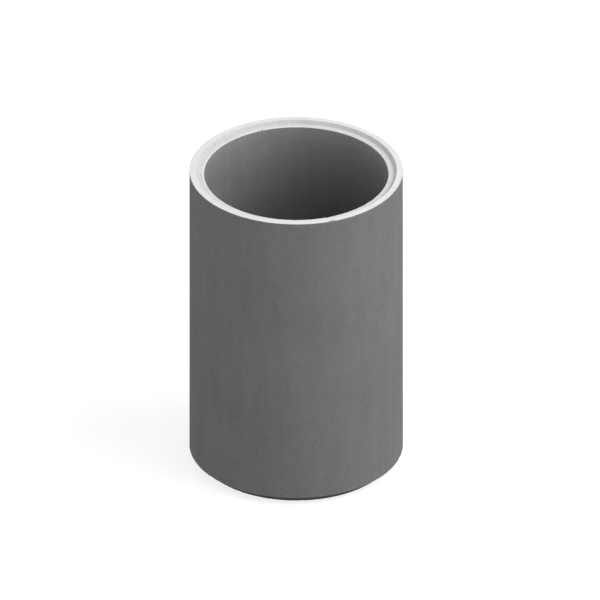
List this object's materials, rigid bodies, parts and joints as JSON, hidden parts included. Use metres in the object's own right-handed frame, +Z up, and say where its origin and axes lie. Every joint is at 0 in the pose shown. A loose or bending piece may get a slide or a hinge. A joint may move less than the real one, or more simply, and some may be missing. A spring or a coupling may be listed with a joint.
{
  "type": "concrete sewer pipe",
  "caption": "Short straight concrete sewer pipe with a plain round bore, a bevelled socket rebate in one end and a stepped spigot on the other, standing on its spigot.",
  "frame": {"origin": "centre of the spigot's tip, on the pipe's axis, at floor level", "axes": "+Z up the bore's axis from the spigot to the socket; +X and +Y lie across the pipe, which is the same all round"},
  "size_m": [0.6959, 0.696, 1.062],
  "materials": {
    "concrete": "matt grey vibrated concrete with pale joint faces"
  },
  "bodies": {
    "root": {"concrete_pipe": "concrete"}
  },
  "joints": []
}
